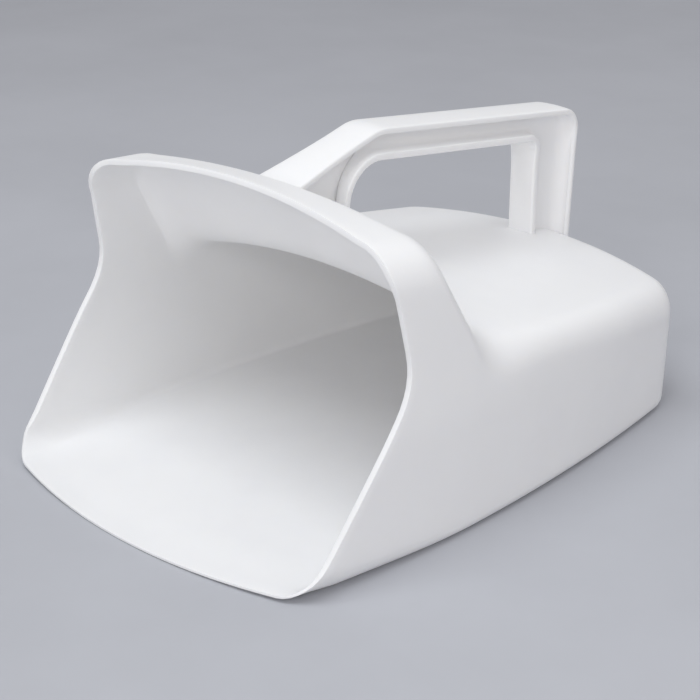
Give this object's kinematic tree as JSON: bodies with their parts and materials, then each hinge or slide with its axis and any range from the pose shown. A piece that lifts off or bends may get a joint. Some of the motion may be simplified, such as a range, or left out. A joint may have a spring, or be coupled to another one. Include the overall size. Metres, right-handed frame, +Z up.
{
  "type": "utility scoop",
  "caption": "One-piece moulded plastic hand scoop: flat floor, wide mouth under a raised hood, crowned roof and a D-shaped I-section handle on top.",
  "frame": {"origin": "middle of the footprint on the surface that the scoop stands on, under the floor", "axes": "+Z up; +Y from the mouth towards the back wall; +X across the width, and the body is symmetric about X = 0"},
  "size_m": [0.1684, 0.2452, 0.1261],
  "materials": {
    "moulded_white": "satin milky white moulded polypropylene with a fine even grain"
  },
  "bodies": {
    "root": {"floor_pan": "moulded_white", "side_wall_right": "moulded_white", "side_wall_left": "moulded_white", "back_wall": "moulded_white", "roof_panel": "moulded_white", "front_hood": "moulded_white", "handle_strut": "moulded_white", "handle_grip": "moulded_white", "handle_post": "moulded_white"}
  },
  "joints": []
}
